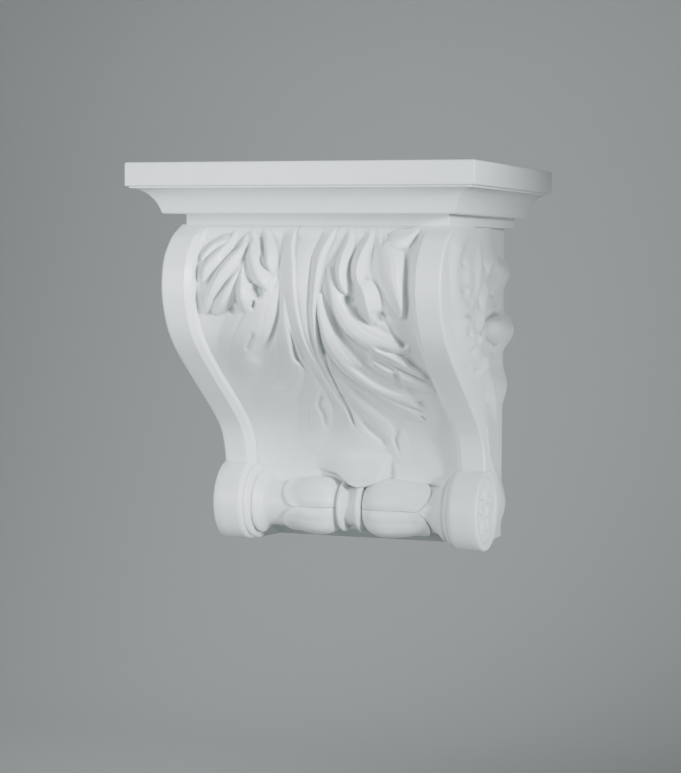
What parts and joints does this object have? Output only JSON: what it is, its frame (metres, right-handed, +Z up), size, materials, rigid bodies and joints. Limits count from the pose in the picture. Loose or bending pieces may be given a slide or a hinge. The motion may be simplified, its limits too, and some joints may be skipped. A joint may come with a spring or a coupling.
{
  "type": "corbel",
  "caption": "Moulded wall corbel: square-edged slab over a hollow moulding, S-shaped body with a carved acanthus leaf and side scrolls, and a turned roll along the foot.",
  "frame": {"origin": "centre of the flat back face, where the corbel meets the wall", "axes": "+Z up, -Y out of the wall towards the viewer, +X to the viewer's right"},
  "size_m": [0.228, 0.19, 0.25],
  "materials": {
    "primed_casting": "satin white primer on rigid polyurethane foam"
  },
  "bodies": {
    "root": {"corbel": "primed_casting"}
  },
  "joints": []
}
